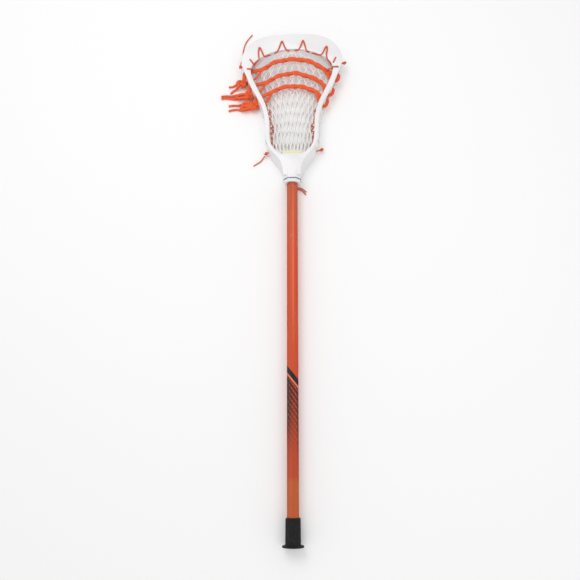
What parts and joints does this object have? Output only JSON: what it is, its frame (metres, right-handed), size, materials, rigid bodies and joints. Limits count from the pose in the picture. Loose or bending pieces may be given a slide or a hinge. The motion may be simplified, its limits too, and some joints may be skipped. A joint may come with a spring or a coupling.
{
  "type": "lacrosse stick",
  "caption": "Field lacrosse stick: hollow octagonal shaft with rubber end cap, and an open plastic head strung with a mesh pocket and twisted shooting laces.",
  "frame": {"origin": "centre of the bounding box in X and Y, at the surface the stick lies on", "axes": "+Y along the stick from the butt to the scoop, +X across, +Z out of the front of the head"},
  "size_m": [0.2738, 1.0803, 0.0454],
  "materials": {
    "shaft_paint": "anodised",
    "cap_rubber": "matte",
    "head_plastic": "gloss",
    "screw_steel": "plain",
    "stop_foam": "foam",
    "mesh_cord": "knitted",
    "lace_orange": "braided",
    "string_orange": "braided"
  },
  "bodies": {
    "stick": {"ball_stop": "stop_foam", "bottom_knot_left": "string_orange", "bottom_knot_right": "string_orange", "bottom_string": "string_orange", "head_frame": "head_plastic", "lace_knot_lower": "lace_orange", "lace_knot_middle": "lace_orange", "lace_knot_upper": "lace_orange", "lace_lower": "lace_orange", "lace_middle": "lace_orange", "lace_tail_lower_a": "lace_orange", "lace_tail_lower_b": "lace_orange", "lace_tail_middle_a": "lace_orange", "lace_tail_middle_b": "lace_orange", "lace_tail_upper_a": "lace_orange", "lace_tail_upper_b": "lace_orange", "lace_upper": "lace_orange", "mesh_border": "mesh_cord", "scoop_knot_left": "string_orange", "scoop_knot_right": "string_orange", "shaft": "shaft_paint", "sidewall_string_left": "string_orange", "sidewall_string_right": "string_orange", "string_tail_bottom_left": "string_orange", "string_tail_top_left": "string_orange", "throat_tail_a": "string_orange", "throat_tail_b": "string_orange", "top_string": "string_orange"},
    "cap": {"end_cap": "cap_rubber"},
    "screw": {"head_screw": "screw_steel"},
    "belly": {"pocket_belly": "mesh_cord"}
  },
  "joints": [
    {"name": "cap_pull", "type": "slide", "parent": "stick", "child": "cap", "axis": [0, -1, 0], "range_m": [0, 0.055]},
    {"name": "screw_turn", "type": "hinge", "parent": "stick", "child": "screw", "pos_m": [0, 0.199, 0.004], "axis": [0, 0, 1], "continuous": true},
    {"name": "belly_push", "type": "slide", "parent": "stick", "child": "belly", "axis": [0, 0, 1], "range_m": [0, 0.025]}
  ]
}
